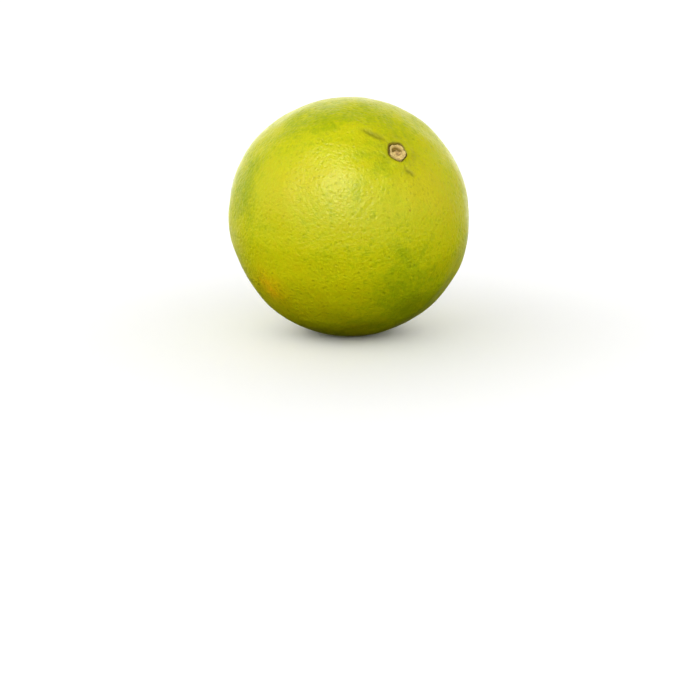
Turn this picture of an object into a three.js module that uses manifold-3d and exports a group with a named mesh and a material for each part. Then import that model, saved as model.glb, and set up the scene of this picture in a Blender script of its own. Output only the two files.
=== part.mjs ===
// A whole sweet orange, as picked: the fruit, and the woody stem button still seated in its stem end.
// It lies on the small flat spot under it, with the stem end leaning forward and to one side.
// Millimetres, +Z up. The origin is the middle of the flat spot, on the surface that the fruit rests on.

import * as THREE from "three";
import { mergeVertices } from "three/addons/utils/BufferGeometryUtils.js";
import Module from "manifold-3d";

const radians = THREE.MathUtils.degToRad;

// The body of the fruit
const EQUATOR_RADIUS = 38; // from the stem axis to the widest peel
const END_HALF = 37.3; // from the middle to each end, before the ends are dished
const SHOULDER = 2.05; // exponent of the section: 2 is an ellipse, and more is squarer
const SPOT_RADIUS = 6.5; // the flat spot under the fruit

// How the fruit lies
const STEM_LEAN = radians(49); // stem axis, from straight up
const STEM_HEADING = radians(-57); // the way it leans, from +X towards +Y

// Low swells (rise above 0) and flats (below 0) of the peel, in degrees: polar is measured from the stem
// axis, turn goes round it, and at spread from its middle a swell has faded to a third.
const SWELLS = [
  { polar: 69, turn: -168, spread: 26, rise: -0.45 },
  { polar: 128, turn: -84, spread: 24, rise: -0.65 },
  { polar: 95, turn: -137, spread: 26, rise: 0.25 },
  { polar: 82, turn: 47, spread: 34, rise: 0.55 },
  { polar: 110, turn: 130, spread: 30, rise: -0.4 },
  { polar: 131, turn: 0, spread: 20, rise: -0.35 },
];

// The stem end: a shallow dish, a low collar round the button, and ribs between the segments.
// Distances run along the peel from the stem axis.
const DISH = { depth: 1.3, width: 9 };
const COLLAR = { rise: 0.3, distance: 4.6, width: 1.1 };
const RIBS = { count: 10, depth: 0.22, from: 5, to: 24 };

// Furrows near the stem, each along a straight line. Its ends are places in millimetres from the stem
// axis, with the peel laid flat.
const FURROWS = [
  { from: [-3.3, -0.9], to: [-11, -9.8], depth: 0.45, width: 1.2 },
  { from: [5.4, -0.8], to: [9.7, 3.6], depth: 0.4, width: 0.8 },
];

// The blossom end: a low ring round the pit that the style left
const STYLE_PIT = { depth: 0.7, width: 1.4 };
const STYLE_RING = { rise: 0.25, distance: 3.0, width: 1.0 };

// The stem button, in a socket in the middle of the dish
const BUTTON_RADIUS = 2.7;
const BUTTON_SEAT = 1.3; // how deep it sits below the floor of the dish
const BUTTON_CORNERS = { count: 5, rise: 0.055, turn: radians(-6) }; // left by the five sepals
const BUTTON_OVAL = { rise: 0.03, turn: radians(150) };
const SOCKET_GAP = 0.3; // between the button and the peel round it
const SOCKET_TOP = 4; // how far above the floor of the dish the socket's cut starts

// The button's section, from the middle of its top round to the middle of its base: a stub of stem, a
// groove round it, and the rim. Each point is a share of the radius and a height over the dish's floor.
const BUTTON_SECTION = [
  [0, 0.1], [0.14, 0.22], [0.3, 0.42], [0.42, 0.15], [0.52, -0.2], [0.64, 0.05], [0.78, 0.55],
  [0.9, 0.55], [0.98, 0.2], [1, -0.5], [0.95, 0.25 - BUTTON_SEAT], [0.8, -BUTTON_SEAT], [0, -BUTTON_SEAT],
];

// How finely each surface is divided
const FRUIT_ROWS = 56;
const FRUIT_COLUMNS = 72;
const ROW_GRADING = 1.3; // above 1 gathers the rows at the stem end
const BUTTON_ROWS = 24;
const BUTTON_COLUMNS = 30;

// The unit vector at polar from +Z, and turn from +X towards +Y.
function direction(polar, turn) {
  const across = Math.sin(polar);
  return new THREE.Vector3(across * Math.cos(turn), across * Math.sin(turn), Math.cos(polar));
}

// A bell curve: 1 at x = 0, faded to about a third at x = width.
function bell(x, width) {
  return Math.exp(-((x / width) ** 2));
}

// A smooth hump from low to high: 1 in the middle, and 0 at both ends and outside them.
function hump(x, low, high) {
  const t = THREE.MathUtils.clamp((x - low) / (high - low), 0, 1);
  return Math.sin(Math.PI * t) ** 2;
}

// How far a furrow dents the peel at a place on the flattened stem end.
function furrowDent(furrow, place) {
  const start = new THREE.Vector2(...furrow.from);
  const line = new THREE.Vector2(...furrow.to).sub(start);
  const length = line.length();
  const offset = place.clone().sub(start);
  const along = offset.dot(line) / length;
  const aside = offset.cross(line) / length;
  return furrow.depth * bell(aside, furrow.width) * Math.sqrt(hump(along, 0, length));
}

// How far the stem end stands off the plain body.
function stemEndRise(distance, turn) {
  const dish = DISH.depth * bell(distance, DISH.width);
  const collar = COLLAR.rise * bell(distance - COLLAR.distance, COLLAR.width);
  const valleys = (1 - Math.cos(RIBS.count * turn)) / 2;
  const ribs = RIBS.depth * valleys * hump(distance, RIBS.from, RIBS.to);
  const place = new THREE.Vector2(distance * Math.cos(turn), distance * Math.sin(turn));
  const furrows = FURROWS.reduce((sum, furrow) => sum + furrowDent(furrow, place), 0);
  return collar - dish - ribs - furrows;
}

// How far the blossom end stands off the plain body.
function blossomEndRise(distance) {
  const ring = STYLE_RING.rise * bell(distance - STYLE_RING.distance, STYLE_RING.width);
  return ring - STYLE_PIT.depth * bell(distance, STYLE_PIT.width);
}

// The distance from the middle of the fruit to its peel.
function peelRadius(polar, turn) {
  const across = Math.sin(polar) / EQUATOR_RADIUS;
  const along = Math.abs(Math.cos(polar)) / END_HALF;
  const body = (across ** SHOULDER + along ** SHOULDER) ** (-1 / SHOULDER);
  const towards = direction(polar, turn);
  const swells = SWELLS.reduce((sum, swell) => {
    const middle = direction(radians(swell.polar), radians(swell.turn));
    return sum + swell.rise * bell(towards.angleTo(middle), radians(swell.spread));
  }, 0);
  return body + swells + stemEndRise(polar * body, turn) + blossomEndRise((Math.PI - polar) * body);
}

// A closed surface round +Z. place(row, turn) gives its points, with row from 0 at the top to 1 at the
// base. At those two, all turns meet in one point on the axis.
function closedSurface(place, rows, columns) {
  const points = [place(0, 0)];
  for (let i = 1; i < rows; i++) {
    for (let j = 0; j < columns; j++) points.push(place(i / rows, (2 * Math.PI * j) / columns));
  }
  points.push(place(1, 0));

  const at = (ring, column) => 1 + (ring - 1) * columns + (column % columns);
  const base = points.length - 1;
  const faces = [];
  for (let j = 0; j < columns; j++) {
    faces.push(0, at(1, j), at(1, j + 1));
    for (let i = 1; i < rows - 1; i++) {
      faces.push(at(i, j), at(i + 1, j), at(i + 1, j + 1));
      faces.push(at(i, j), at(i + 1, j + 1), at(i, j + 1));
    }
    faces.push(base, at(rows - 1, j + 1), at(rows - 1, j));
  }
  return new THREE.BufferGeometry().setFromPoints(points).setIndex(faces);
}

// The whole fruit about its middle, with the stem axis on +Z.
function peelSurface() {
  const place = (row, turn) => {
    const polar = Math.PI * row ** ROW_GRADING;
    return direction(polar, turn).multiplyScalar(peelRadius(polar, turn));
  };
  return closedSurface(place, FRUIT_ROWS, FRUIT_COLUMNS);
}

// The button's outline, as a share of its radius: five blunt corners on a slight oval.
function buttonOutline(turn) {
  const corners = BUTTON_CORNERS.rise * Math.cos(BUTTON_CORNERS.count * (turn - BUTTON_CORNERS.turn));
  return 1 + corners + BUTTON_OVAL.rise * Math.cos(2 * (turn - BUTTON_OVAL.turn));
}

// A point at a distance from the axis, a turn round it and a height.
function roundPoint(across, turn, height) {
  return new THREE.Vector3(across * Math.cos(turn), across * Math.sin(turn), height);
}

// The stem button, with the dish's floor at height floor.
function buttonSurface(floor) {
  const section = new THREE.SplineCurve(BUTTON_SECTION.map((point) => new THREE.Vector2(...point)));
  const place = (row, turn) => {
    const point = section.getPoint(row);
    return roundPoint(point.x * BUTTON_RADIUS * buttonOutline(turn), turn, floor + point.y);
  };
  return closedSurface(place, BUTTON_ROWS, BUTTON_COLUMNS);
}

// What is cut away for the button: a straight-sided plug, one gap wider and one gap deeper.
function socketSurface(floor) {
  const base = -BUTTON_SEAT - SOCKET_GAP;
  const section = [[0, SOCKET_TOP], [1, SOCKET_TOP], [1, base], [0, base]];
  const steps = section.length - 1;
  const place = (row, turn) => {
    const [share, height] = section[Math.round(row * steps)];
    return roundPoint(share * (BUTTON_RADIUS * buttonOutline(turn) + SOCKET_GAP), turn, floor + height);
  };
  return closedSurface(place, steps, BUTTON_COLUMNS);
}

const manifold = await Module();
manifold.setup();

// A closed geometry as a solid that can be cut.
function solidFrom(geometry) {
  const bare = geometry.clone().deleteAttribute("normal").deleteAttribute("uv");
  const merged = mergeVertices(bare);
  return new manifold.Manifold(new manifold.Mesh({
    numProp: 3,
    vertProperties: merged.getAttribute("position").array,
    triVerts: Uint32Array.from(merged.index.array),
  }));
}

// A cut solid as a geometry.
function geometryFrom(solid) {
  const mesh = solid.getMesh();
  const geometry = new THREE.BufferGeometry();
  geometry.setAttribute("position", new THREE.BufferAttribute(mesh.vertProperties, 3));
  geometry.setIndex(new THREE.BufferAttribute(mesh.triVerts, 1));
  geometry.computeVertexNormals();
  return geometry;
}

// The points of a geometry as they stand once it is placed by matrix.
function placedPoints(geometry, matrix) {
  const placed = geometry.clone().applyMatrix4(matrix).getAttribute("position");
  return Array.from({ length: placed.count }, (_, i) => new THREE.Vector3().fromBufferAttribute(placed, i));
}

// A block with its top at z = 0, seen from inside a group placed by matrix.
function groundBlock(matrix) {
  const size = 4 * EQUATOR_RADIUS;
  const block = new THREE.BoxGeometry(size, size, size).translate(0, 0, -size / 2);
  return block.applyMatrix4(matrix.clone().invert());
}

// The fruit and its button lean together.
const orange = new THREE.Group();
orange.rotation.set(0, STEM_LEAN, STEM_HEADING, "ZYX");
orange.updateMatrix();

// They stand so low that the ground cuts off a flat spot of the right size.
const whole = peelSurface();
const lowest = new THREE.Box3().setFromPoints(placedPoints(whole, orange.matrix)).min.z;
orange.position.z = Math.sqrt(EQUATOR_RADIUS ** 2 - SPOT_RADIUS ** 2) - EQUATOR_RADIUS - lowest;
orange.updateMatrix();

const dishFloor = peelRadius(0, 0);
const fruitSolid = solidFrom(whole)
  .subtract(solidFrom(socketSurface(dishFloor)))
  .subtract(solidFrom(groundBlock(orange.matrix)));
const fruitGeometry = geometryFrom(fruitSolid);

// The middle of the flat spot goes to the origin.
const ON_GROUND = 0.001;
const spotPoints = placedPoints(fruitGeometry, orange.matrix).filter((point) => point.z < ON_GROUND);
const spotMiddle = new THREE.Box3().setFromPoints(spotPoints).getCenter(new THREE.Vector3());
orange.position.x = -spotMiddle.x;
orange.position.y = -spotMiddle.y;

const peelMaterial = new THREE.MeshStandardMaterial({ color: 0xc6c81e, roughness: 0.42, metalness: 0 });
const fruit = new THREE.Mesh(fruitGeometry, peelMaterial);
fruit.name = "fruit";

const buttonGeometry = buttonSurface(dishFloor);
buttonGeometry.computeVertexNormals();
const woodMaterial = new THREE.MeshStandardMaterial({ color: 0xcaa868, roughness: 0.8, metalness: 0 });
const stemButton = new THREE.Mesh(buttonGeometry, woodMaterial);
stemButton.name = "stem_button";

orange.add(fruit, stemButton);

export default orange;
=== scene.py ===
# A whole green-skinned sweet orange, as picked, with its woody stem button. It lies on its flat spot.
# Metres, +Z up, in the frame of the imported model. The front is -Y.

from itertools import product
from math import pi, radians

import bpy
import numpy as np
from bpy.props import FloatProperty, FloatVectorProperty, IntProperty, PointerProperty
from mathutils import Matrix, Vector


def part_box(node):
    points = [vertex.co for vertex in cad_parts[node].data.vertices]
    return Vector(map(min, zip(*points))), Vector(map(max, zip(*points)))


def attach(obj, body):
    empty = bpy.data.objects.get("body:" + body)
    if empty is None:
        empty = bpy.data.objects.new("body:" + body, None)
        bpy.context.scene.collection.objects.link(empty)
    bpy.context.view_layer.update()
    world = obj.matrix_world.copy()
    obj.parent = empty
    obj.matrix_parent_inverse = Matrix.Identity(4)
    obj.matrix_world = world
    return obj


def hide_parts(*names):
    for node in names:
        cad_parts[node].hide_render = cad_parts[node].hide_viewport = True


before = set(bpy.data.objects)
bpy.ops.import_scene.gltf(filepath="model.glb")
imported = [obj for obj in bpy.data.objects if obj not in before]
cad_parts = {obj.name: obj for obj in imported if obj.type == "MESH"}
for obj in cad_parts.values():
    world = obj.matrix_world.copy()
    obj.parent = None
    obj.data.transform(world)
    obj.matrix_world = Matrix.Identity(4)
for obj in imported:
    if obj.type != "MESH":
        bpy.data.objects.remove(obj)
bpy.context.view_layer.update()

bl_info = {
    "name": "Sweet Orange",
    "version": (1, 0, 0),
    "blender": (4, 5, 0),
    "location": "3D View > Sidebar > Orange",
    "description": "Builds a whole green-skinned sweet orange with its stem button, on a pale studio floor",
    "category": "Add Mesh",
}

MM = 0.001
BODY = "root"

# Low swells (rise above 0) and flats (below 0) of the peel: polar angle from the stem axis, turn round
# it, and spread, in degrees, and rise.
SWELLS = (
    (69, -168, 26, -0.45 * MM),
    (128, -84, 24, -0.65 * MM),
    (95, -137, 26, 0.25 * MM),
    (82, 47, 34, 0.55 * MM),
    (110, 130, 30, -0.4 * MM),
    (131, 0, 20, -0.35 * MM),
)

# Furrows near the stem: both ends on the flattened stem end, depth, width, and how dull the skin in it is,
# partly as painted shade.
FURROWS = (
    ((-3.3, -0.9), (-11, -9.8), 0.45 * MM, 1.2 * MM, 1.0),
    ((5.9, -0.5), (9.4, 3.2), 0.4 * MM, 0.8 * MM, 0.9),
)

# Pleats, each a faint groove with a ridge along its far side: both ends, height and width.
PLEATS = (
    ((11, -10.5), (19.5, -21.5), 0.08 * MM, 0.8 * MM),
    ((-14, 10), (-22, 19), 0.06 * MM, 0.9 * MM),
)

# Patches of riper (above 0) and greener (below 0) skin: polar angle, turn and spread in degrees, and
# how far the skin's tone moves.
TONE_PATCHES = (
    (60, -90, 15, 0.25),
    (44, -97, 13, 0.2),
    (20, 18, 14, 0.6),
    (45, 35, 16, 0.2),
    (80, -108, 15, -0.4),
    (44, -138, 13, -0.35),
    (27, -170, 13, -0.3),
    (12, -62, 7, -0.2),
    (53, -5, 14, -0.25),
    (80, 6, 22, -0.5),
    (88, -45, 24, 0.2),
)


# ---------------------------------------------------------------- what a user may change


def length(name, description, millimetres):
    """A length property."""
    return FloatProperty(name=name, description=description, default=millimetres * MM, unit="LENGTH")


def angle(name, description, degrees):
    """An angle property."""
    return FloatProperty(name=name, description=description, default=radians(degrees), subtype="ANGLE")


def colour(name, description, *parts):
    """A colour property, from its linear red, green and blue."""
    return FloatVectorProperty(
        name=name, description=description, default=parts, subtype="COLOR", min=0, max=1
    )


def amount(name, description, value, **limits):
    """A plain number, with its limits."""
    return FloatProperty(name=name, description=description, default=value, **limits)


class OrangeBody(bpy.types.PropertyGroup):
    """The fruit's size, its two ends and how it lies."""

    equator_radius: length("Equator radius", "Stem axis to the widest peel", 38)
    end_half: length("End half", "Middle to each end, before the dish", 37.3)
    shoulder: amount("Shoulder", "Exponent of the section: 2 is an ellipse", 2.05, min=1.5, max=4)
    stem_lean: angle("Stem lean", "Stem axis, from straight up", 49)
    stem_heading: angle("Stem heading", "Way it leans, from +X towards +Y", -57)
    dish_depth: length("Dish depth", "Depth of the dish at the stem end", 1.3)
    dish_width: length("Dish width", "Reach of the dish along the peel", 9)
    collar_rise: length("Collar rise", "Low ring round the button", 0.3)
    rib_count: IntProperty(name="Ribs", description="Ribs between the segments", default=10, min=0)
    rib_depth: length("Rib depth", "Depth of the valleys between ribs", 0.22)
    style_pit_depth: length("Style pit depth", "Pit at the blossom end", 0.7)


class OrangePeel(bpy.types.PropertyGroup):
    """The peel's pits and colours."""

    gland_scale: amount("Gland scale", "Cells of the gland pattern per metre", 760, min=1)
    pit_depth: length("Pit depth", "Depth of the dent over each oil gland", 0.045)
    ripple: length("Ripple", "Height of the broad unevenness of the peel", 0.1)
    pebble: length("Pebble", "Height of the pebbling between the pits", 0.008)
    green: colour("Green", "Least ripe skin", 0.34, 0.405, 0.001)
    lime: colour("Lime", "Most of the skin", 0.495, 0.5, 0.001)
    yellow: colour("Yellow", "Ripest skin", 0.52, 0.478, 0.001)
    blush: colour("Blush", "Orange spot low on one side", 0.84, 0.5, 0.004)
    fleck: colour("Fleck", "Pale flecks between the pits", 0.68, 0.66, 0.015)
    pit: colour("Pit", "Skin over the oil glands", 0.24, 0.27, 0.002)
    speck: colour("Speck", "Scattered brown specks", 0.3, 0.17, 0.01)
    # Painted shade of the dish round the stem end, on skin that is greener there.
    shade: colour("Shade", "Deep olive of the stem end", 0.25, 0.26, 0.002)
    # Dull skin of the furrows, darker also as painted shade in the creases.
    scar_and_shade: colour("Scar", "Dull skin of the furrows", 0.29, 0.28, 0.012)
    # Rough brown skin round the button, also used as painted shade of the socket's wall.
    bark: colour("Bark", "Corky skin round the button", 0.21, 0.165, 0.008)
    socket: colour("Socket", "Inside of the button's socket", 0.22, 0.17, 0.01)


class OrangeButton(bpy.types.PropertyGroup):
    """The woody stem button and its socket."""

    radius: length("Radius", "Middle to rim", 2.7)
    seat: length("Seat", "Base below the floor of the dish", 1.3)
    gap: length("Gap", "Between the button and its socket", 0.3)
    corners: IntProperty(name="Corners", description="Left by the sepals", default=5, min=3)
    rim: colour("Rim", "Cream of the raised rim", 0.62, 0.49, 0.2)
    stub: colour("Stub", "Tan of the stub of stem", 0.5, 0.35, 0.14)
    fibres: colour("Fibres", "Darker streaks and blotches of the wood", 0.44, 0.31, 0.12)
    # Painted shade in the button's hollow and down its side.
    crevice_shade: colour("Crevice", "Brown of the low places", 0.25, 0.17, 0.018)
    pith: colour("Pith", "Brown of the pith hole", 0.27, 0.17, 0.06)


class OrangeStage(bpy.types.PropertyGroup):
    """Floor, light and camera."""

    floor_colour: colour("Floor", "Colour of the floor", 0.9, 0.9, 0.9)
    backdrop: amount("Backdrop", "Brightness of the surroundings behind", 1.95, min=0)
    key_strength: amount("Key", "Strength of the softbox", 3.7, min=0)
    key_angle: angle("Key width", "Width of the softbox in the sky", 42)
    key_azimuth: angle("Key azimuth", "From the front towards the right", -12)
    key_elevation: angle("Key elevation", "Above the floor", 46)
    fill_strength: amount("Fill", "Brightness of the band of light in front", 2.68, min=0)
    fill_behind: amount("Fill behind", "Share of the fill left on its far side", 0.65, min=0, max=1)
    fill_azimuth: angle("Fill azimuth", "From the front towards the right", -36)
    gamma: amount("Gamma", "Of the displayed picture", 0.8, min=0.1)
    exposure: amount("Exposure", "Of the displayed picture, in stops", 0.2)
    lens: FloatProperty(name="Lens", description="Focal length", default=85, subtype="DISTANCE_CAMERA")
    camera_pitch: angle("Camera pitch", "How far the camera looks down", 14.5)
    camera_distance: length("Camera distance", "Camera to the fruit's middle", 527)


# ---------------------------------------------------------------- shapes, as whole arrays


def bell(x, width):
    """1 at x = 0, faded to about a third at x = width: exp(-(x / width) squared)."""
    return np.exp(-((x / width) ** 2))


def smooth(x, low, high):
    """0 up to low, 1 from high on, and 3t^2 - 2t^3 between them."""
    t = np.clip((x - low) / (high - low), 0, 1)
    return t * t * (3 - 2 * t)


def hump(x, low, high):
    """1 halfway from low to high, and 0 at both and outside them: sin(pi t) squared."""
    return np.sin(pi * np.clip((x - low) / (high - low), 0, 1)) ** 2


def direction(polar, turn):
    """Unit vectors at polar from +Z, and turn from +X towards +Y."""
    across = np.sin(polar)
    height = np.cos(polar) + 0 * turn
    return np.stack((across * np.cos(turn), across * np.sin(turn), height), axis=-1)


def waves(points, wavelength, count, seed):
    """Even, aimless unevenness, about -1 to 1: the sum of count sine waves, each with its own seeded
    direction, phase, and length near wavelength."""
    rng = np.random.default_rng(seed)
    across = rng.normal(size=(count, 3))
    across /= np.linalg.norm(across, axis=1, keepdims=True)
    lengths = wavelength * rng.uniform(0.7, 1.4, count)
    phases = rng.uniform(0, 2 * pi, count)
    every_wave = np.sin(points @ (across * (2 * pi / lengths)[:, None]).T + phases)
    return every_wave.sum(axis=-1) * (2 / count) ** 0.5


def turned(bits, places):
    """Unsigned 32-bit numbers with their bits turned left by places."""
    return (bits << np.uint32(places)) | (bits >> np.uint32(32 - places))


def stirred(a, b, c):
    """The lookup3 mixing step on three arrays of 32-bit numbers."""
    for first, second, third in ((4, 6, 8), (16, 19, 4)):
        a = (a - c) ^ turned(c, first)
        c = c + b
        b = (b - a) ^ turned(a, second)
        a = a + c
        c = (c - b) ^ turned(b, third)
        b = b + a
    return a, b, c


def settled(a, b, c):
    """The lookup3 closing step on three arrays of 32-bit numbers, as 0 to 1."""
    for first, second, third in ((14, 11, 25), (16, 4, 14)):
        c = (c ^ b) - turned(b, first)
        a = (a ^ c) - turned(c, second)
        b = (b ^ a) - turned(a, third)
    return ((c ^ b) - turned(b, 24)) / 0xFFFFFFFF


def scattered(cells):
    """One fixed random point inside each unit cell, as the shader's Voronoi texture scatters them: the
    lookup3 hash of the cell's corner, with a fourth number of 1 and 2 for y and z."""
    x, y, z = (np.ascontiguousarray(cells[..., i], dtype=np.float32).view(np.uint32) for i in range(3))
    three = np.uint32(0xDEADBEEF + (3 << 2) + 13)
    four = np.uint32(0xDEADBEEF + (4 << 2) + 13)
    found = [settled(x + three, y + three, z + three)]
    for extra in (1, 2):
        a, b, c = stirred(x + four, y + four, z + four)
        found.append(settled(a + np.float32(extra).view(np.uint32), b, c))
    return np.stack(found, axis=-1)


def gland_distance(points, scale):
    """How far each point is from the nearest oil gland, in cells: the least distance to the scattered
    points of the 27 cells round it."""
    places = points * scale
    home = np.floor(places)
    nearest = np.full(places.shape[:-1], np.inf)
    for step in product((-1, 0, 1), repeat=3):
        cells = home + np.array(step) + 0.0
        nearest = np.minimum(nearest, np.linalg.norm(cells + scattered(cells) - places, axis=-1))
    return nearest


# A gland pit's inner and outer edge, in cells
PIT_INNER = 0.1
PIT_OUTER = 0.5


def add_surface(name, grid, measures):
    """A closed mesh from grid[row, column]. Row 0 and the last row are each one point, and columns run
    round and meet. measures holds one number, or three, for every point, and each becomes an attribute."""
    rows, columns = grid.shape[:2]
    middle = grid[1:-1].reshape(-1, 3)
    points = np.vstack((grid[:1, 0], middle, grid[-1:, 0]))
    ring = np.arange(1, len(middle) + 1).reshape(rows - 2, columns)
    upper, lower = ring[:-1], ring[1:]
    quads = np.stack((upper, lower, np.roll(lower, -1, 1), np.roll(upper, -1, 1)), axis=-1).reshape(-1, 4)
    top = np.stack((np.zeros(columns, int), ring[0], np.roll(ring[0], -1)), axis=-1)
    base = np.stack((np.full(columns, len(points) - 1), np.roll(ring[-1], -1), ring[-1]), axis=-1)

    mesh = bpy.data.meshes.new(name)
    mesh.from_pydata(points.tolist(), [], quads.tolist() + top.tolist() + base.tolist())
    mesh.polygons.foreach_set("use_smooth", np.ones(len(mesh.polygons), bool))
    for key, values in measures.items():
        flat = np.concatenate((values[:1, 0], values[1:-1].reshape(-1, *values.shape[2:]), values[-1:, 0]))
        kind, field = ("FLOAT", "value") if flat.ndim == 1 else ("FLOAT_VECTOR", "vector")
        mesh.attributes.new(key, kind, "POINT").data.foreach_set(field, flat.astype(np.float32).ravel())
    mesh.update()
    piece = bpy.data.objects.new(name, mesh)
    bpy.context.scene.collection.objects.link(piece)
    return piece


# ---------------------------------------------------------------- the fruit


def along_line(across, start, end):
    """Places on the flattened stem end, as how far along the line from start to end they are, as a share
    of it, and how far aside."""
    start = np.array(start) * MM
    line = np.array(end) * MM - start
    line_length = np.linalg.norm(line)
    offset = across - start
    aside = (offset[..., 0] * line[1] - offset[..., 1] * line[0]) / line_length
    return offset @ line / line_length**2, aside


def furrow_depths(across):
    """How deep every furrow is at places on the flattened stem end: a bell across its line, and the root
    of a hump along it. Also how dull and dark the skin is there, which also paints shade in the crease."""
    depths = dull = 0
    for start, end, depth, width, dullness in FURROWS:
        along, aside = along_line(across, start, end)
        shape = bell(aside, width) * np.sqrt(hump(along, 0, 1))
        depths = depths + depth * shape
        dull = dull + dullness * shape
    return depths, dull


PLEAT_SCALE = 2.3  # makes the greatest rise of x exp(-x^2) about 1


def pleat_rise(across):
    """How far every pleat lifts the peel: x exp(-x^2) across its line, a groove with a ridge beside it,
    and a hump along it."""
    total = 0
    for start, end, height, width in PLEATS:
        along, aside = along_line(across, start, end)
        total = total + height * PLEAT_SCALE * aside / width * bell(aside, width) * hump(along, 0, 1)
    return total


def plain_radius(body, polar):
    """Middle to skin of the plain body: (|sin p / equator|^n + |cos p / end|^n)^(-1/n)."""
    across = np.abs(np.sin(polar)) / body.equator_radius
    along = np.abs(np.cos(polar)) / body.end_half
    return (across**body.shoulder + along**body.shoulder) ** (-1 / body.shoulder)


# Along the peel from the stem axis: the collar's distance and width, and the ribs' two ends. From the
# blossom end: the style ring's rise, distance and width, and the pit's width.
COLLAR_DISTANCE = 4.6 * MM
COLLAR_WIDTH = 1.1 * MM
RIBS = (5 * MM, 24 * MM)
STYLE_RING = (0.25 * MM, 3 * MM, 1 * MM)
STYLE_PIT_WIDTH = 1.4 * MM


def peel_radius(body, polar, turn):
    """Middle to skin: the plain body, its swells, the stem end's dish, collar, ribs, furrows and pleats,
    and the blossom end's ring and pit. Also how dull and dark the skin of the furrows is, partly as painted
    shade."""
    plain = plain_radius(body, polar)
    outwards = direction(polar, turn)
    rise = 0
    for middle_polar, middle_turn, spread, height in SWELLS:
        middle = direction(radians(middle_polar), radians(middle_turn))
        away = np.arccos(np.clip(outwards @ middle, -1, 1))
        rise = rise + height * bell(away, radians(spread))

    reach = polar * plain
    across = np.stack((reach * np.cos(turn), reach * np.sin(turn)), axis=-1)
    furrows, dull = furrow_depths(across)
    valleys = (1 - np.cos(body.rib_count * turn)) / 2
    rise = rise - body.dish_depth * bell(reach, body.dish_width)
    rise = rise + body.collar_rise * bell(reach - COLLAR_DISTANCE, COLLAR_WIDTH)
    rise = rise - body.rib_depth * valleys * hump(reach, *RIBS)
    rise = rise + pleat_rise(across) - furrows

    far = (pi - polar) * plain
    ring_rise, ring_distance, ring_width = STYLE_RING
    rise = rise + ring_rise * bell(far - ring_distance, ring_width)
    rise = rise - body.style_pit_depth * bell(far, STYLE_PIT_WIDTH)
    return plain + rise, dull


CORNER_SHARE = 0.055
CORNER_TURN = radians(-6)
OVAL_SHARE = 0.03
OVAL_TURN = radians(150)


def button_outline(button, turn):
    """The button's radius at each turn: blunt corners on a slight oval."""
    corners = CORNER_SHARE * np.cos(button.corners * (turn - CORNER_TURN))
    oval = OVAL_SHARE * np.cos(2 * (turn - OVAL_TURN))
    return button.radius * (1 + corners + oval)


def lie_down(body):
    """Turns the stem axis from +Z to where it points when the fruit lies on its spot."""
    return np.array(Matrix.Rotation(body.stem_heading, 3, "Z") @ Matrix.Rotation(body.stem_lean, 3, "Y"))


def fruit_middle(body):
    """Where the middle of the fruit stands: the box round its plain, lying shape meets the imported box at
    the sides and the top."""
    by_degree = np.linspace(0, pi, 181), np.linspace(0, 2 * pi, 361)
    polar, turn = np.meshgrid(*by_degree, indexing="ij")
    radius, _ = peel_radius(body, polar, turn)
    lying = (direction(polar, turn) * radius[..., None]).reshape(-1, 3) @ lie_down(body).T
    low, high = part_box("fruit")
    middle = (np.array(low) + np.array(high) - lying.min(axis=0) - lying.max(axis=0)) / 2
    middle[2] = high.z - lying[:, 2].max()
    return middle


COLUMNS = 420
PEEL_ROWS = 222
ROW_CROWDING = 1.12  # above 1 crowds the rows towards the stem
CORNER_FADE = 2.5 * MM  # how far out the rows still follow the socket's corners
LIP_ROWS = 6
LIP = 0.3 * MM
# How far out the painted light and shade of the ribs reaches from the socket.
RIB_SHADING_REACH = 22 * MM
# The rough brown ring round the socket, which also stands for painted shade on the socket's wall and lip,
# heaviest towards one turn: its distance, width and that turn.
BARK_DISTANCE = 0.1 * MM
BARK_WIDTH = 0.5 * MM
BARK_SHADE_TURN = radians(-120)


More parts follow.
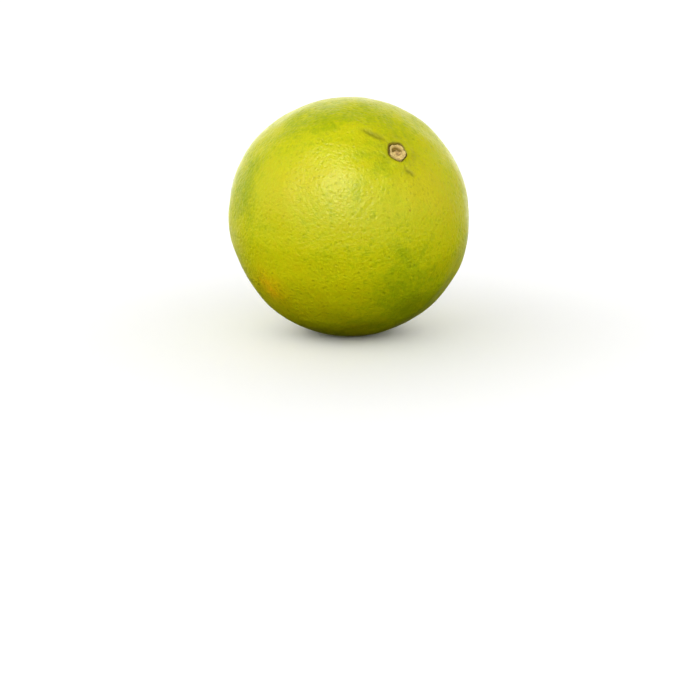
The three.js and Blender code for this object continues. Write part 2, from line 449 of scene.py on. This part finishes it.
def fruit_grid(body, button):
    """The fruit about its middle, stem on +Z: the socket's floor and wall, a round lip, and the peel
    down to the blossom end. Also each point's measures: how dull and dark a furrow's skin is, partly
    as painted shade, how far it is from the socket's edge, painted light and shade of the ribs that
    fan out from the stem, and the rough brown skin round the socket with painted shade of its wall,
    heaviest on one side."""
    turn = np.linspace(0, 2 * pi, COLUMNS, endpoint=False)[None, :]
    edge = button_outline(button, turn) + button.gap
    dish = peel_radius(body, np.zeros(1), np.zeros(1))[0][0]
    floor = dish - button.seat - button.gap

    # The peel's rows start one lip width outside the socket's edge, follow its corners there, and are
    # plain circles a few millimetres further out.
    start = (edge + LIP) / dish
    share = np.linspace(0, 1, PEEL_ROWS)[:, None] ** ROW_CROWDING
    even = start.mean() + (pi - start.mean()) * share
    polar = even + (start - start.mean()) * bell(even - start.mean(), CORNER_FADE / dish)
    radius, dull = peel_radius(body, polar, turn)
    peel = direction(polar, turn + 0 * polar) * radius[..., None]

    # The lip turns down through a quarter circle into the socket's wall.
    bend = np.linspace(0, pi / 2, LIP_ROWS, endpoint=False)[:, None]
    across = edge + LIP * (1 - np.cos(bend))
    lip_top, _ = peel_radius(body, across / dish, turn + 0 * bend)
    lip_height = np.sqrt(lip_top**2 - across**2) - LIP * (1 - np.sin(bend))
    levels = np.array([0, 0.5, 1])[:, None]
    wall_height = floor + (lip_height[:1] - floor) * levels[:-1]
    shares = np.array([0, 0.5, 0.95])[:, None]
    across = np.vstack((shares * edge, edge + 0 * wall_height, across))
    height = np.vstack((floor + 0 * shares * edge, wall_height, lip_height))
    round_turn = turn + 0 * across
    inner = np.stack((across * np.cos(round_turn), across * np.sin(round_turn), height), axis=-1)

    skin_reach = np.vstack((across, polar * dish)) - edge
    # Lighter and darker bands fanning out from the stem: painted light and shade of the ribs.
    rib_light_and_shade = waves(direction(np.full(turn.shape, pi / 2), turn), 0.42, 16, 5)
    shaded_side = 0.6 + 0.4 * np.cos(turn - BARK_SHADE_TURN)
    return np.vstack((inner, peel)), {
        "dull": np.vstack((np.zeros(across.shape), dull)),
        "reach": skin_reach / MM,
        "rib_shading": rib_light_and_shade * hump(skin_reach, -2 * MM, RIB_SHADING_REACH),
        "bark": bell(skin_reach - BARK_DISTANCE, BARK_WIDTH) * shaded_side,
    }


def press_flat(height, blur):
    """Heights pressed on the ground: 0 below -blur, unchanged above blur, and (z + blur)^2 / 4 blur
    between them."""
    pressed = (np.clip(height, -blur, blur) + blur) ** 2 / (4 * blur)
    return np.where(height > blur, height, pressed)


RIPPLE_LENGTH = 14 * MM
PEBBLE_LENGTH = 2.6 * MM
FLAT_BLUR = 0.12 * MM  # the height over which the flat spot's edge is rounded


def build_fruit(body, peel, button):
    """The peel's grid, laid down in place, with ripples, pebbles and gland pits along its own rays, and
    pressed flat where it meets the ground."""
    grid, measures = fruit_grid(body, button)
    middle = fruit_middle(body)
    outwards = grid / np.linalg.norm(grid, axis=-1, keepdims=True)
    placed = grid @ lie_down(body).T + middle
    open_skin = smooth(measures["reach"], 0.2, 1.5)
    pits = 1 - smooth(gland_distance(placed, peel.gland_scale), PIT_INNER, PIT_OUTER)
    ripples = peel.ripple * waves(placed, RIPPLE_LENGTH, 24, 1)
    pebbles = peel.pebble * waves(placed, PEBBLE_LENGTH, 40, 2)
    lift = (ripples + pebbles - peel.pit_depth * pits) * open_skin
    placed = placed + (outwards @ lie_down(body).T) * lift[..., None]
    placed[..., 2] = press_flat(placed[..., 2], FLAT_BLUR)
    return add_surface("orange_peel", placed, measures)


# ---------------------------------------------------------------- the stem button


BUTTON_COLUMNS = 160
BUTTON_TOP_ROWS = 64
BRIM = 0.12 * MM  # how far the rim overhangs the side
RIM_SHARE = 0.87  # of the way from the middle to the edge, as is its width
RIM_WIDTH = 0.11
HOLLOW_TURN = radians(168)

# In millimetres on the button's top: places from its middle, and how wide and high each feature is
STUB_PLACE = (0.35, -0.25)
STUB_EDGE = (0.7, 1.15)
PITH_PLACE = (0.7, -0.45)
PITH_WIDTH = 0.42
HOLLOW_DISTANCE = 1.45
HOLLOW_WIDTH = 0.6
TOP_LEVEL, RIM_RISE, STUB_RISE, HOLLOW_DEPTH, PITH_DEPTH, EDGE_DROP = 0.05, 0.38, 0.3, 0.75, 0.25, 0.5
WRINKLE_RISE, FIBRE_RISE, FIBRE_COUNT = 0.045, 0.03, 23


def button_top(across, share, turn):
    """Height of the button's top, in metres: a rim, a stub of stem off the middle, a crescent hollow
    round one side of the stub, a small pith hole, an edge that rounds down, and wrinkles. Also the
    stub, hollow and pith as measures."""
    x = across * np.cos(turn) / MM
    y = across * np.sin(turn) / MM
    spread = np.stack((x, y, 0 * x), axis=-1)
    ragged = waves(spread, 1.3, 24, 6)
    stub_distance = np.hypot(x - STUB_PLACE[0], y - STUB_PLACE[1]) + 0.1 * ragged
    rim = bell(share - RIM_SHARE + 0.03 * ragged, RIM_WIDTH)
    measures = {
        "stub": 1 - smooth(stub_distance, *STUB_EDGE),
        "hollow": bell(across / MM - HOLLOW_DISTANCE, HOLLOW_WIDTH)
        * smooth(np.cos(turn - HOLLOW_TURN) + 0.12 * ragged, -0.15, 0.5),
        "pith": bell(np.hypot(x - PITH_PLACE[0], y - PITH_PLACE[1]), PITH_WIDTH),
    }
    rises = RIM_RISE * rim + STUB_RISE * measures["stub"]
    hollows = HOLLOW_DEPTH * measures["hollow"] + PITH_DEPTH * measures["pith"]
    height = TOP_LEVEL + rises - hollows - EDGE_DROP * smooth(share, 0.94, 1)
    wrinkles = WRINKLE_RISE * waves(spread, 0.8, 30, 3)
    wrinkles = wrinkles + FIBRE_RISE * np.cos(FIBRE_COUNT * turn + 3 * waves(spread, 4, 8, 4))
    return (height + wrinkles * smooth(share, 0, 0.2)) * MM, measures


def button_grid(button, floor):
    """The button about the fruit's middle: its top is a height over the disc, then a side and a base.
    The rim overhangs the side by BRIM. Also each point's measures: the top's, how low it lies, and the
    place of the wood's fibres."""
    turn = np.linspace(0, 2 * pi, BUTTON_COLUMNS, endpoint=False)[None, :]
    outline = button_outline(button, turn)
    share = np.linspace(0, 1, BUTTON_TOP_ROWS)[:, None] ** 0.85
    top_across = share * (outline + BRIM)
    top_height, measures = button_top(top_across, share, turn)

    levels = np.linspace(0, 1, 9)[1:, None]
    side_across = outline * (1 - 0.06 * levels) + BRIM * (1 - smooth(levels, 0, 0.4))
    side_height = top_height[-1:] + (-button.seat - top_height[-1:]) * levels
    base_shares = np.array([0.9, 0.5, 0])[:, None]
    across = np.vstack((top_across, side_across, side_across[-1:] * base_shares))
    height = np.vstack((top_height, side_height, -button.seat + 0 * base_shares * turn))
    height[0] = height[0].mean()
    turns = turn + 0 * across
    grid = np.stack((across * np.cos(turns), across * np.sin(turns), floor + height), axis=-1)

    below_top = ((0, len(across) - BUTTON_TOP_ROWS), (0, 0))
    measures = {name: np.pad(values, below_top) for name, values in measures.items()}
    # How low a point lies, which carries the painted shade down the side.
    measures["low"] = 1 - smooth(height, -0.75 * MM, -0.1 * MM)
    measures["fibre"] = np.stack((np.cos(turns), np.sin(turns), across / (6 * MM)), axis=-1)
    return grid, measures


def build_button(body, button):
    """The stem button, laid down with the fruit in its socket."""
    floor = peel_radius(body, np.zeros(1), np.zeros(1))[0][0]
    grid, measures = button_grid(button, floor)
    return add_surface("orange_stem_button", grid @ lie_down(body).T + fruit_middle(body), measures)


# ---------------------------------------------------------------- shader nodes


def add_node(tree, kind, inputs=None, **settings):
    """A node of that kind. inputs go by name or number: a socket is linked, and a value is set."""
    made = tree.nodes.new(kind)
    for key, value in settings.items():
        setattr(made, key, value)
    for key, value in (inputs or {}).items():
        if isinstance(value, bpy.types.NodeSocket):
            tree.links.new(value, made.inputs[key])
        else:
            made.inputs[key].default_value = value
    return made


def maths(tree, operation, *values):
    """One Math node's result."""
    return add_node(tree, "ShaderNodeMath", dict(enumerate(values)), operation=operation).outputs[0]


def vector_maths(tree, operation, *values):
    """One Vector Math node's outputs."""
    return add_node(tree, "ShaderNodeVectorMath", dict(enumerate(values)), operation=operation).outputs


def mapped(tree, value, low, high, new_low=0.0, new_high=1.0, smooth_step=True):
    """value from low..high to new_low..new_high, clamped."""
    kind = "SMOOTHSTEP" if smooth_step else "LINEAR"
    inputs = {"Value": value, "From Min": low, "From Max": high, "To Min": new_low, "To Max": new_high}
    return add_node(tree, "ShaderNodeMapRange", inputs, interpolation_type=kind).outputs[0]


def mixed(tree, share, first, second):
    """One colour passing into another."""
    node = tree.nodes.new("ShaderNodeMix")
    node.data_type = "RGBA"
    for key, value in ((0, share), (6, first), (7, second)):
        if isinstance(value, bpy.types.NodeSocket):
            tree.links.new(value, node.inputs[key])
        else:
            node.inputs[key].default_value = value if key == 0 else (*value, 1)
    return node.outputs[2]


def measure(tree, name, vector=False):
    """A measure kept on the mesh."""
    node = add_node(tree, "ShaderNodeAttribute", attribute_name=name)
    return node.outputs["Vector" if vector else "Fac"]


def new_group(name, inputs, outputs):
    """A shader node group with those sockets, and its two end nodes."""
    group = bpy.data.node_groups.new(name, "ShaderNodeTree")
    for key, kind in inputs.items():
        group.interface.new_socket(key, in_out="INPUT", socket_type="NodeSocket" + kind)
    for key, kind in outputs.items():
        group.interface.new_socket(key, in_out="OUTPUT", socket_type="NodeSocket" + kind)
    return group, group.nodes.new("NodeGroupInput"), group.nodes.new("NodeGroupOutput")


def place_group(tree, group, inputs):
    """A node group used in a tree."""
    node = tree.nodes.new("ShaderNodeGroup")
    node.node_tree = group
    for key, value in inputs.items():
        if isinstance(value, bpy.types.NodeSocket):
            tree.links.new(value, node.inputs[key])
        else:
            node.inputs[key].default_value = value
    return node.outputs


def mottle_group():
    """Cloudy unevenness, about -1 to 1 times the contrast."""
    inputs = {"Vector": "Vector", "Scale": "Float", "Contrast": "Float"}
    group, start, end = new_group("mottle", inputs, {"Value": "Float"})
    noise = add_node(group, "ShaderNodeTexNoise", {"Vector": start.outputs[0], "Scale": start.outputs[1]})
    noise.inputs["Detail"].default_value = 3
    centred = maths(group, "SUBTRACT", noise.outputs[0], 0.5)
    spread = maths(group, "MULTIPLY", maths(group, "MULTIPLY", centred, 4.0), start.outputs[2])
    group.links.new(spread, end.inputs[0])
    return group


def patch_group():
    """A round patch of skin: 1 at its middle, with bell-shaped sides."""
    inputs = {"Direction": "Vector", "Middle": "Vector", "Spread": "Float"}
    group, start, end = new_group("skin_patch", inputs, {"Mask": "Float"})
    apart = vector_maths(group, "DISTANCE", start.outputs[0], start.outputs[1])["Value"]
    share = maths(group, "DIVIDE", apart, start.outputs[2])
    fall = maths(group, "MULTIPLY", maths(group, "MULTIPLY", share, share), -1.0)
    group.links.new(maths(group, "POWER", 2.718, fall), end.inputs[0])
    return group


def dots_group():
    """Round dots scattered over a surface, such as oil glands: 1 inside, 0 outside, and a tone for each."""
    inputs = {"Vector": "Vector", "Scale": "Float", "Inner": "Float", "Outer": "Float"}
    group, start, end = new_group("scattered_dots", inputs, {"Mask": "Float", "Tone": "Float"})
    cells = add_node(group, "ShaderNodeTexVoronoi", {"Vector": start.outputs[0], "Scale": start.outputs[1]})
    mask = mapped(group, cells.outputs["Distance"], start.outputs[2], start.outputs[3], 1.0, 0.0)
    tone = add_node(group, "ShaderNodeSeparateColor", {0: cells.outputs["Color"]})
    group.links.new(mask, end.inputs[0])
    group.links.new(tone.outputs[0], end.inputs[1])
    return group


def shared_groups():
    """The node groups that several materials use, made once."""
    makers = {"mottle": mottle_group, "skin_patch": patch_group, "scattered_dots": dots_group}
    return {key: bpy.data.node_groups.get(key) or make() for key, make in makers.items()}


def new_material(name):
    """A material with a Principled shader, and its tree."""
    material = bpy.data.materials.new(name)
    material.use_nodes = True
    return material, material.node_tree, material.node_tree.nodes["Principled BSDF"]


def add_bump(tree, shader, height):
    """Small relief, from heights in metres."""
    bump = add_node(tree, "ShaderNodeBump", {"Strength": 1.0, "Distance": 1.0, "Height": height})
    tree.links.new(bump.outputs[0], shader.inputs["Normal"])


# Cloudy patterns of the skin's tone: scale, in features per metre, and contrast
SKIN_MOTTLES = ((70.0, 0.13), (170.0, 0.16), (420.0, 0.22), (1000.0, 0.2))
# How strongly the painted light and shade of the ribs moves the skin's tone.
RIB_SHADING_TONE = 0.06
BLUSH_MIDDLE = (radians(101), radians(-62))  # polar angle and turn
BLUSH_SPREAD = radians(8)

# Dots: cells per metre, and the dot's inner and outer edge in cells
FLECKS = {"Scale": 1250.0, "Inner": 0.05, "Outer": 0.6}
SPECKS = {"Scale": 105.0, "Inner": 0.02, "Outer": 0.055}
FLECK_SHARE = 0.22
SPECK_SHARE = 0.55
# Painted shade in the dish round the stem end: its reach in mm from the socket's edge, and its strength.
PAINTED_SHADE_REACH = 11.0  # mm from the socket's edge
PAINTED_SHADE_SHARE = 0.3
SKIN_ROUGHNESS = 0.38
SOCKET_ROUGHNESS = 0.8
GLAND_DENTS = (-0.015 * MM, -0.07 * MM)  # the shallowest and the deepest


def skin_tone(tree, place, outwards, turn):
    """How ripe the skin is: 0 green, 0.5 lime, 1 yellow. Patches, mottles, and painted light and shade of the
    ribs near the stem, on 0.5.
    """
    groups = shared_groups()
    tone = 0.5
    for polar, turn_angle, spread, strength in TONE_PATCHES:
        middle = turn @ direction(radians(polar), radians(turn_angle))
        inputs = {"Direction": outwards, "Middle": tuple(middle), "Spread": radians(spread)}
        mask = place_group(tree, groups["skin_patch"], inputs)[0]
        tone = maths(tree, "MULTIPLY_ADD", mask, strength, tone)
    for scale, contrast in SKIN_MOTTLES:
        inputs = {"Vector": place, "Scale": scale, "Contrast": contrast}
        tone = maths(tree, "ADD", tone, place_group(tree, groups["mottle"], inputs)[0])
    rib_shading = maths(tree, "MULTIPLY", measure(tree, "rib_shading"), RIB_SHADING_TONE)
    return maths(tree, "ADD", tone, rib_shading)


def blushed(tree, skin, outwards, turn, cloud, peel):
    """The skin with its small cloudy blush."""
    inputs = {"Direction": outwards, "Middle": tuple(turn @ direction(*BLUSH_MIDDLE)), "Spread": BLUSH_SPREAD}
    blush = place_group(tree, shared_groups()["skin_patch"], inputs)[0]
    blush = maths(tree, "MULTIPLY", blush, mapped(tree, cloud, -0.5, 0.6, 0.45, 1.0))
    return mixed(tree, maths(tree, "MULTIPLY", blush, 0.75), skin, tuple(peel.blush))


def dotted(tree, skin, place, glands, peel):
    """The skin with pale flecks, darker pits over the glands, and a few brown specks."""
    dots = shared_groups()["scattered_dots"]
    flecks = place_group(tree, dots, {"Vector": place, **FLECKS})
    share = maths(tree, "MULTIPLY", flecks["Mask"], maths(tree, "MULTIPLY", flecks["Tone"], FLECK_SHARE))
    skin = mixed(tree, share, skin, tuple(peel.fleck))
    share = maths(tree, "MULTIPLY", glands["Mask"], mapped(tree, glands["Tone"], 0.2, 1.0, 0.03, 0.24))
    skin = mixed(tree, share, skin, tuple(peel.pit))
    specks = place_group(tree, dots, {"Vector": place, **SPECKS})
    strength = mapped(tree, specks["Tone"], 0.55, 0.9, 0.0, SPECK_SHARE)
    share = maths(tree, "MULTIPLY", specks["Mask"], strength)
    return mixed(tree, share, skin, tuple(peel.speck))


def stem_end(tree, skin, cloud, socket, peel):
    """The skin with painted shade and greener skin in the stem end's dish, the dull furrows with painted
    shade in them, rough brown skin round the socket with painted shade of its wall, and the socket.
    """
    # Painted shade round the stem end, broken up by the cloud.
    near = mapped(tree, measure(tree, "reach"), 0.0, PAINTED_SHADE_REACH, 1.0, 0.0)
    near = maths(tree, "MULTIPLY", near, PAINTED_SHADE_SHARE)
    shade = maths(tree, "MULTIPLY", near, mapped(tree, cloud, -0.7, 0.5))
    skin = mixed(tree, shade, skin, tuple(peel.shade))
    # Dull skin in the furrows, partly painted shade in the creases.
    darker_furrows = mapped(tree, measure(tree, "dull"), 0.0, 1.0, 0.0, 0.75)
    skin = mixed(tree, darker_furrows, skin, tuple(peel.scar_and_shade))
    # Rough brown skin round the socket, with painted shade of its wall, heaviest on one side.
    rough_edge = maths(tree, "MULTIPLY_ADD", cloud, 0.12, measure(tree, "bark"))
    skin = mixed(tree, mapped(tree, rough_edge, 0.05, 0.6, 0.0, 0.95), skin, tuple(peel.bark))
    return mixed(tree, socket, skin, tuple(peel.socket))


def peel_material(body, peel):
    """Waxy citrus peel: green to yellow skin with riper patches, a small blush, darker gland pits, pale
    flecks between them, painted light and shade of the ribs near the stem, painted shade in the stem
    end's dish and in the dull furrows, rough brown skin with painted shade round the socket, and a
    brown socket."""
    groups = shared_groups()
    material, tree, shader = new_material("orange_peel")
    place = add_node(tree, "ShaderNodeTexCoord").outputs["Object"]
    turn = lie_down(body)
    offset = vector_maths(tree, "SUBTRACT", place, tuple(fruit_middle(body)))[0]
    outwards = vector_maths(tree, "NORMALIZE", offset)[0]
    cloud = place_group(tree, groups["mottle"], {"Vector": place, "Scale": 260.0, "Contrast": 0.8})[0]
    socket = mapped(tree, measure(tree, "reach"), -0.05, 0.25, 1.0, 0.0)
    gland_inputs = {"Vector": place, "Scale": peel.gland_scale, "Inner": PIT_INNER, "Outer": PIT_OUTER}
    glands = place_group(tree, groups["scattered_dots"], gland_inputs)

    tone = skin_tone(tree, place, outwards, turn)
    greener = mapped(tree, tone, 0.0, 0.5, smooth_step=False)
    riper = mapped(tree, tone, 0.5, 1.0, smooth_step=False)
    skin = mixed(tree, riper, mixed(tree, greener, tuple(peel.green), tuple(peel.lime)), tuple(peel.yellow))
    skin = blushed(tree, skin, outwards, turn, cloud, peel)
    skin = dotted(tree, skin, place, glands, peel)
    skin = stem_end(tree, skin, cloud, socket, peel)
    tree.links.new(skin, shader.inputs["Base Color"])

    rough = place_group(tree, groups["mottle"], {"Vector": place, "Scale": 300.0, "Contrast": 0.06})[0]
    rough = maths(tree, "ADD", rough, mapped(tree, socket, 0.0, 1.0, SKIN_ROUGHNESS, SOCKET_ROUGHNESS))
    tree.links.new(rough, shader.inputs["Roughness"])

    pebble_inputs = {"Vector": place, "Scale": 1100.0, "Contrast": 0.06 * MM}
    pebble = place_group(tree, groups["mottle"], pebble_inputs)[0]
    dent = maths(tree, "MULTIPLY", glands["Mask"], mapped(tree, glands["Tone"], 0.0, 1.0, *GLAND_DENTS))
    add_bump(tree, shader, maths(tree, "ADD", dent, pebble))

    shader.inputs["Specular IOR Level"].default_value = 0.32
    shader.inputs["Coat Weight"].default_value = 0.03
    shader.inputs["Coat Roughness"].default_value = 0.25
    shader.inputs["Subsurface Weight"].default_value = 0.1
    shader.inputs["Subsurface Radius"].default_value = (1.0, 0.7, 0.15)
    shader.inputs["Subsurface Scale"].default_value = 1.5 * MM
    return material


def button_material(button):
    """Dry stem wood: cream rim, tan stub, painted shade in the hollow and on the low places, and fine fibres
    that run outwards.
    """
    groups = shared_groups()
    material, tree, shader = new_material("orange_stem_button")
    fibre = measure(tree, "fibre", vector=True)
    streaks = place_group(tree, groups["mottle"], {"Vector": fibre, "Scale": 9.0, "Contrast": 0.4})[0]
    place = add_node(tree, "ShaderNodeTexCoord").outputs["Object"]
    blotches = place_group(tree, groups["mottle"], {"Vector": place, "Scale": 1100.0, "Contrast": 0.5})[0]
    uneven = maths(tree, "ADD", streaks, blotches)

    wood = mixed(tree, measure(tree, "stub"), tuple(button.rim), tuple(button.stub))
    wood = mixed(tree, mapped(tree, uneven, -0.3, 1.0, 0.0, 0.6), wood, tuple(button.fibres))
    # Painted shade in the crescent hollow and on the low places down the side.
    hollow = mapped(tree, measure(tree, "hollow"), 0.1, 0.75, 0.0, 0.95)
    wood = mixed(tree, hollow, wood, tuple(button.crevice_shade))
    wood = mixed(tree, mapped(tree, measure(tree, "low"), 0.1, 0.9), wood, tuple(button.crevice_shade))
    wood = mixed(tree, maths(tree, "MULTIPLY", measure(tree, "pith"), 0.6), wood, tuple(button.pith))
    tree.links.new(wood, shader.inputs["Base Color"])
    add_bump(tree, shader, maths(tree, "MULTIPLY", uneven, 0.04 * MM))
    shader.inputs["Roughness"].default_value = 0.75
    return material


def floor_material(stage):
    """Matte pale board, with a faint unevenness."""
    groups = shared_groups()
    material, tree, shader = new_material("pale_floor")
    place = add_node(tree, "ShaderNodeTexCoord").outputs["Object"]
    cloud = place_group(tree, groups["mottle"], {"Vector": place, "Scale": 6.0, "Contrast": 0.1})[0]
    pale = tuple(stage.floor_colour)
    shade = tuple(0.985 * part for part in pale)
    tree.links.new(mixed(tree, mapped(tree, cloud, -0.1, 0.1), shade, pale), shader.inputs["Base Color"])
    shader.inputs["Roughness"].default_value = 0.9
    return material


# ---------------------------------------------------------------- the stage


FLOOR_RADIUS = 4.0
FLOOR_THICKNESS = 0.01


def build_floor(stage):
    """A disc, as rings whose radius grows with the square of their number. It neither lights
    the fruit nor shows in its gloss."""
    turn = np.linspace(0, 2 * pi, 96, endpoint=False)[None, :]
    across = FLOOR_RADIUS * np.linspace(0, 1, 24)[:, None] ** 2
    top = np.stack((across * np.cos(turn), across * np.sin(turn), 0 * across * turn), axis=-1)
    under = top[::-1] - (0, 0, FLOOR_THICKNESS)
    floor = add_surface("floor", np.vstack((top, under)), {})
    floor.data.materials.append(floor_material(stage))
    floor.visible_diffuse = False
    floor.visible_glossy = False


def sky_direction(azimuth, elevation):
    """A unit vector, its azimuth measured from the front, -Y, towards the right."""
    flat = np.cos(elevation)
    return Vector((np.sin(azimuth) * flat, -np.cos(azimuth) * flat, np.sin(elevation)))


def add_key(stage):
    """A large round softbox, far away in front and above, as wide in the sky as its angle. It is only
    reflected."""
    light = bpy.data.lights.new("key", "SUN")
    light.energy = stage.key_strength
    light.angle = stage.key_angle
    light.cycles.use_multiple_importance_sampling = False
    towards = sky_direction(stage.key_azimuth, stage.key_elevation)
    key = bpy.data.objects.new("key", light)
    key.location = towards
    key.rotation_euler = towards.to_track_quat("Z", "Y").to_euler()
    key.visible_diffuse = False
    bpy.context.scene.collection.objects.link(key)


# The sky is mapped by the parts of a unit vector: Z from below the fruit to straight up, and Y backwards.
FILL_FOOT = (-0.18, 0.01)
FILL_TOP = (0.4, 0.95)
BACKDROP_FOOT = (-0.5, -0.05)
BACKDROP_SIDES = (0.55, 1.0)
BACKDROP_LIT_SHARE = 0.27  # of the backdrop's brightness, for the light it casts


def add_surroundings(stage):
    """The studio round the fruit: a band of fill above the horizon that is dark to glossy rays, and a
    pale backdrop behind, towards +Y."""
    world = bpy.data.worlds.new("studio")
    world.use_nodes = True
    tree = world.node_tree
    towards = add_node(tree, "ShaderNodeTexCoord").outputs["Generated"]
    parts = add_node(tree, "ShaderNodeSeparateXYZ", {0: towards}).outputs
    rays = add_node(tree, "ShaderNodeLightPath").outputs

    facing = vector_maths(tree, "DOT_PRODUCT", towards, sky_direction(stage.fill_azimuth, 0))["Value"]
    front = stage.fill_strength
    fill = mapped(tree, facing, -1.0, 1.0, stage.fill_behind * front, front)
    fill = maths(tree, "MULTIPLY", fill, maths(tree, "SUBTRACT", 1.0, rays["Is Glossy Ray"]))
    fill = maths(tree, "MULTIPLY", fill, mapped(tree, parts["Z"], *FILL_FOOT))
    fill = maths(tree, "MULTIPLY", fill, mapped(tree, parts["Z"], *FILL_TOP, 1.0, 0.0))

    sides = mapped(tree, parts["Y"], *BACKDROP_SIDES)
    behind = maths(tree, "MULTIPLY", sides, mapped(tree, parts["Z"], *BACKDROP_FOOT))
    seen, cast = stage.backdrop, BACKDROP_LIT_SHARE * stage.backdrop
    backdrop = mapped(tree, rays["Is Diffuse Ray"], 0.0, 1.0, seen, cast)
    strength = maths(tree, "MULTIPLY_ADD", behind, backdrop, fill)
    tree.links.new(strength, tree.nodes["Background"].inputs["Strength"])
    tree.nodes["Background"].inputs["Color"].default_value = (1, 1, 1, 1)
    world.cycles.sampling_method = "NONE"
    bpy.context.scene.world = world


SENSOR_WIDTH = 36  # mm
FRUIT_LEFT = 0.00229  # of the frame's width, from the frame's middle to the fruit's
FRUIT_UP = 0.19014


def add_camera(stage, middle):
    """The camera looks down by its pitch, and the fruit's middle stands up and left of the frame's."""
    data = bpy.data.cameras.new("camera")
    data.lens = stage.lens
    data.sensor_width = SENSOR_WIDTH
    camera = bpy.data.objects.new("camera", data)
    bpy.context.scene.collection.objects.link(camera)
    camera.rotation_euler = (pi / 2 - stage.camera_pitch, 0, 0)
    frame_width = SENSOR_WIDTH / stage.lens
    ray = Vector((-FRUIT_LEFT * frame_width, FRUIT_UP * frame_width, -1)).normalized()
    camera.location = middle - stage.camera_distance * (camera.rotation_euler.to_matrix() @ ray)
    bpy.context.scene.camera = camera


# ---------------------------------------------------------------- operators, panel and main


class ORANGE_OT_fruit(bpy.types.Operator):
    """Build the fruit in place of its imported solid"""

    bl_idname = "orange.fruit"
    bl_label = "Fruit"

    def execute(self, context):
        scene = context.scene
        fruit = build_fruit(scene.orange_body, scene.orange_peel, scene.orange_button)
        fruit.data.materials.append(peel_material(scene.orange_body, scene.orange_peel))
        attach(fruit, BODY)
        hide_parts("fruit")
        return {"FINISHED"}


class ORANGE_OT_stem_button(bpy.types.Operator):
    """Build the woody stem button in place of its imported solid"""

    bl_idname = "orange.stem_button"
    bl_label = "Stem Button"

    def execute(self, context):
        scene = context.scene
        button = build_button(scene.orange_body, scene.orange_button)
        button.data.materials.append(button_material(scene.orange_button))
        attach(button, BODY)
        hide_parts("stem_button")
        return {"FINISHED"}


class ORANGE_OT_stage(bpy.types.Operator):
    """Build the pale floor, the soft studio light and the camera"""

    bl_idname = "orange.stage"
    bl_label = "Stage"

    def execute(self, context):
        stage = context.scene.orange_stage
        middle = Vector(fruit_middle(context.scene.orange_body))
        build_floor(stage)
        add_surroundings(stage)
        add_key(stage)
        add_camera(stage, middle)
        view = context.scene.view_settings
        view.view_transform = "Standard"
        view.gamma = stage.gamma
        view.exposure = stage.exposure
        return {"FINISHED"}


class ORANGE_PT_panel(bpy.types.Panel):
    """Lists the pieces of the orange and its stage."""

    bl_idname = "ORANGE_PT_panel"
    bl_label = "Sweet Orange"
    bl_space_type = "VIEW_3D"
    bl_region_type = "UI"
    bl_category = "Orange"

    def draw(self, context):
        layout = self.layout
        for operator in OPERATORS:
            layout.operator(operator.bl_idname)


OPERATORS = (ORANGE_OT_fruit, ORANGE_OT_stem_button, ORANGE_OT_stage)
GROUPS = {
    "orange_body": OrangeBody,
    "orange_peel": OrangePeel,
    "orange_button": OrangeButton,
    "orange_stage": OrangeStage,
}


def register():
    for group in GROUPS.values():
        bpy.utils.register_class(group)
    for key, group in GROUPS.items():
        setattr(bpy.types.Scene, key, PointerProperty(type=group))
    for operator in OPERATORS:
        bpy.utils.register_class(operator)
    bpy.utils.register_class(ORANGE_PT_panel)


def unregister():
    bpy.utils.unregister_class(ORANGE_PT_panel)
    for operator in reversed(OPERATORS):
        bpy.utils.unregister_class(operator)
    for key in GROUPS:
        delattr(bpy.types.Scene, key)
    for group in reversed(GROUPS.values()):
        bpy.utils.unregister_class(group)


def main():
    register()
    bpy.ops.orange.fruit()
    bpy.ops.orange.stem_button()
    bpy.ops.orange.stage()


if __name__ == "__main__":
    main()
